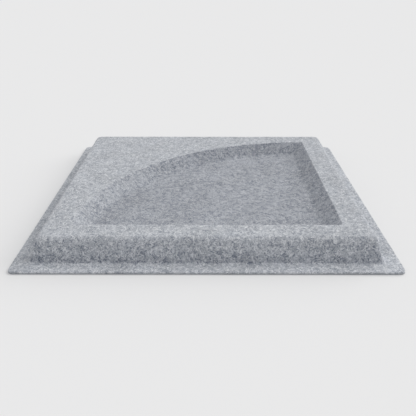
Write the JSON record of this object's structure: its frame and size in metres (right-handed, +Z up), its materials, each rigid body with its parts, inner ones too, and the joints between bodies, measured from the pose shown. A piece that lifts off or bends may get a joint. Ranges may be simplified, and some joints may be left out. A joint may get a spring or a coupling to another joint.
{
  "type": "moulded felt panel",
  "caption": "Square moulded felt desk mat or panel: a flat rim round a raised block with a quarter-round recess that holds small things.",
  "frame": {"origin": "centre of the flat underside", "axes": "+Z up, out of the felt face; +X to the right and -Y to the front, the recess's square corner lying at +X, -Y"},
  "size_m": [0.6, 0.6, 0.0435],
  "materials": {
    "face_felt": "light grey marled pressed felt",
    "back_felt": "plain grey needled felt",
    "core_board": "off-white polyester fibre board",
    "pad_rubber": "matt charcoal rubber"
  },
  "bodies": {
    "root": {"face_shell": "face_felt", "back_sheet": "back_felt", "core_frame": "core_board", "core_slab": "core_board", "grip_pad_front_left": "pad_rubber", "grip_pad_front_right": "pad_rubber", "grip_pad_rear_left": "pad_rubber", "grip_pad_rear_right": "pad_rubber"}
  },
  "joints": []
}
